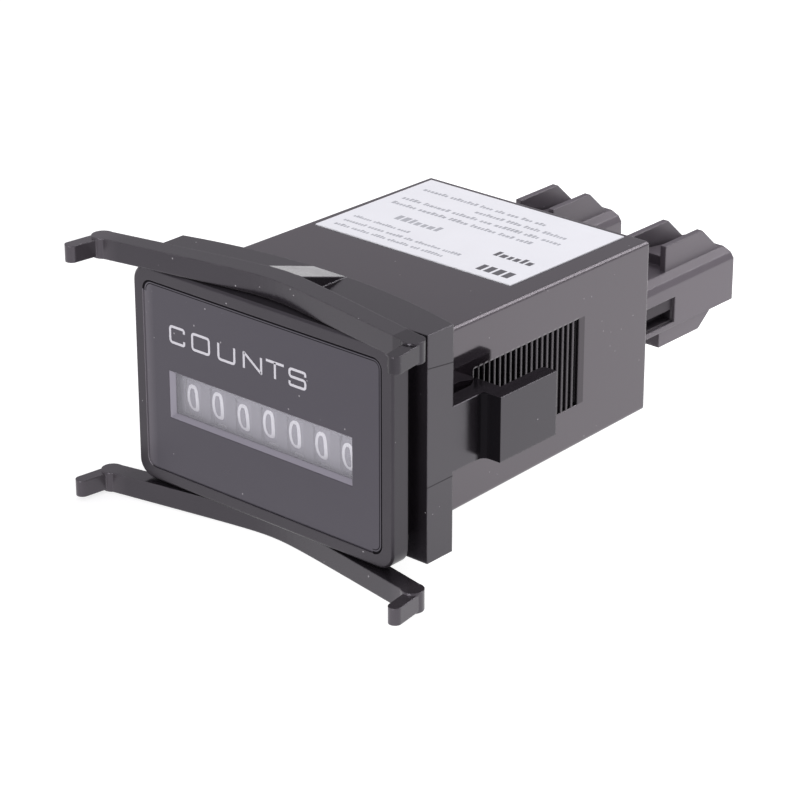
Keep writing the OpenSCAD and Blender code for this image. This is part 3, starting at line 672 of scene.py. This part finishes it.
# Sticker print: rows of small blocks in groups, as (left, right, place along the case,
# block height, seed) in mm; widths, heights and gaps of the blocks are shares of the block height
sticker = dict(thick=0.01, sheet=0.12, blockWide=(0.35, 0.62), blockTall=[0.7, 0.7, 1.0],
               blockGap=0.22, groupCount=(3, 9), groupGap=0.55, rowEnd=2,
               marks=[(7.0, 12.2, 24.2, 1.6, 9), (5.8, 11.4, 28.4, 1.3, 10)],
               rows=[(-13.2, 2.4, 23.9, 0.6, 1), (-13.2, 3.4, 25.4, 0.6, 2),
                     (-13.2, -5.0, 27.0, 0.55, 3), (-9.4, -0.6, 29.8, 1.3, 4),
                     (-13.0, 8.6, 33.2, 0.75, 5), (-13.0, 9.6, 35.0, 0.75, 6),
                     (-4.0, 9.6, 36.8, 0.7, 7), (-13.0, 4.6, 38.6, 0.7, 8)])


# One row's blocks as (left, width, height)
def rowBlocks(left, right, tall, seed, values):
    rng = np.random.default_rng(seed)
    at, blocks = left, []
    while at < right - values["rowEnd"] * tall:
        count = rng.integers(*values["groupCount"])
        for wide in rng.uniform(*values["blockWide"], count) * tall:
            if at + wide < right:
                blocks.append((at, wide, tall * rng.choice(values["blockTall"])))
            at += wide + values["blockGap"] * tall
        at += values["groupGap"] * tall
    return blocks


def makeSticker(name, rows, ink, values):
    low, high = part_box("label_sheet")
    parts = []
    for left, right, along, tall, seed in rows:
        for at, wide, height in rowBlocks(left, right, tall, seed, values):
            middle = along + (height - tall) / 2
            path = np.array([(at, middle), (at + wide, middle)])
            parts.append(stroke(path, height, values["thick"]))
    verts, faces = joined(parts)
    # the sheet slopes with the case: its top falls from high in front to low + sheet at the rear
    share = (verts[:, 1] * mm - low[1]) / (high[1] - low[1])
    top = high[2] + share * (low[2] + values["sheet"] * mm - high[2])
    placed = np.column_stack([verts[:, 0] * mm, verts[:, 1] * mm, top + verts[:, 2] * mm])
    addPiece(name, placed, faces, made[ink], "housing")


makeSticker("label_print", sticker["rows"], "greyInk", sticker)
makeSticker("label_marks", sticker["marks"], "darkInk", sticker)
print("sticker printed")

# Camera fitted to the photograph
camera = dict(place=(0.198593, -0.208435, 0.128438), lens=138.3, sensor=36.0, clip=(0.01, 10.0),
              right=(0.7539, 0.6570, 0.0), up=(-0.2663, 0.3056, 0.9141),
              back=(0.6006, -0.6891, 0.4054))
camData = bpy.data.cameras.new("camera")
camData.lens = camera["lens"]
camData.sensor_width = camera["sensor"]
camData.clip_start, camData.clip_end = camera["clip"]
camObj = bpy.data.objects.new("camera", camData)
turnMatrix = Matrix((camera["right"], camera["up"], camera["back"])).transposed()
camObj.matrix_world = Matrix.Translation(camera["place"]) @ turnMatrix.to_4x4()
bpy.context.scene.collection.objects.link(camObj)
bpy.context.scene.camera = camObj

# Soft studio light
lamps = {
    "keyFront": dict(place=(0.12, -0.66, 0.16), aim=(0, 0, 0), size=0.4, power=4.5),
    "topSoft": dict(place=(0.05, 0.1, 0.6), aim=(0, 0.02, 0), size=0.6, power=0.5),
    "backRight": dict(place=(0.165, 0.52, 0.52), aim=(0, 0.02, 0), size=0.4, power=2.4),
}
for name, values in lamps.items():
    data = bpy.data.lights.new(name, "AREA")
    data.shape = "DISK"
    data.size = values["size"]
    data.energy = values["power"]
    lamp = bpy.data.objects.new(name, data)
    lamp.location = values["place"]
    ray = Vector(values["aim"]) - Vector(values["place"])
    lamp.rotation_euler = ray.to_track_quat("-Z", "Y").to_euler()
    bpy.context.scene.collection.objects.link(lamp)

# Sky that the camera sees white; pale floor that glows more towards the back right, in metres
room = dict(light=0.55, tone=(1.0, 0.965, 1.03), floorDrop=0.0003, floorSize=3.0,
            floorColour=0.4, glowNear=0.66, glowFar=1.1, glowRun=0.1, glowStart=0.45)
world = bpy.data.worlds.new("studio")
world.use_nodes = True
world.node_tree.nodes.clear()
sky = Wire(world.node_tree)
seen = sky.make("ShaderNodeLightPath", out="Is Camera Ray")
dim = sky.make("ShaderNodeBackground", None,
               {"Color": (*room["tone"], 1), "Strength": room["light"]})
white = sky.make("ShaderNodeBackground", None, {"Color": (1, 1, 1, 1), "Strength": 1.0})
shown = sky.make("ShaderNodeMixShader", None, {0: seen, 1: dim, 2: white})
sky.make("ShaderNodeOutputWorld", None, {"Surface": shown})
bpy.context.scene.world = world

floorMat, floorWire = startMaterial("floorFinish")
floorPlace = floorWire.make("ShaderNodeTexCoord", out="Object")
spot = floorWire.make("ShaderNodeSeparateXYZ", None, {0: floorPlace})
ramp = clamp((spot + spot.other("Y")) / room["glowRun"] + room["glowStart"])
glowTone = blend(floorWire, ramp, (room["glowNear"],) * 3, (room["glowFar"],) * 3)
pale = floorWire.make("ShaderNodeBsdfDiffuse", None, {"Color": (room["floorColour"],) * 3 + (1,)})
glow = floorWire.make("ShaderNodeEmission", None, {"Color": glowTone})
endMaterial(floorMat, floorWire.make("ShaderNodeAddShader", None, {0: pale, 1: glow}))
half = room["floorSize"] / 2
level = cadBox[0][2] - room["floorDrop"]
floorCorners = [(-half, -half, level), (half, -half, level), (half, half, level),
                (-half, half, level)]
floorMesh = bpy.data.meshes.new("floor")
floorMesh.from_pydata(floorCorners, [], [(0, 1, 2, 3)])
floorMesh.materials.append(floorMat)
floorObj = bpy.data.objects.new("floor", floorMesh)
bpy.context.scene.collection.objects.link(floorObj)
bpy.context.scene.view_settings.view_transform = "Standard"
print("camera, lamps and floor set")
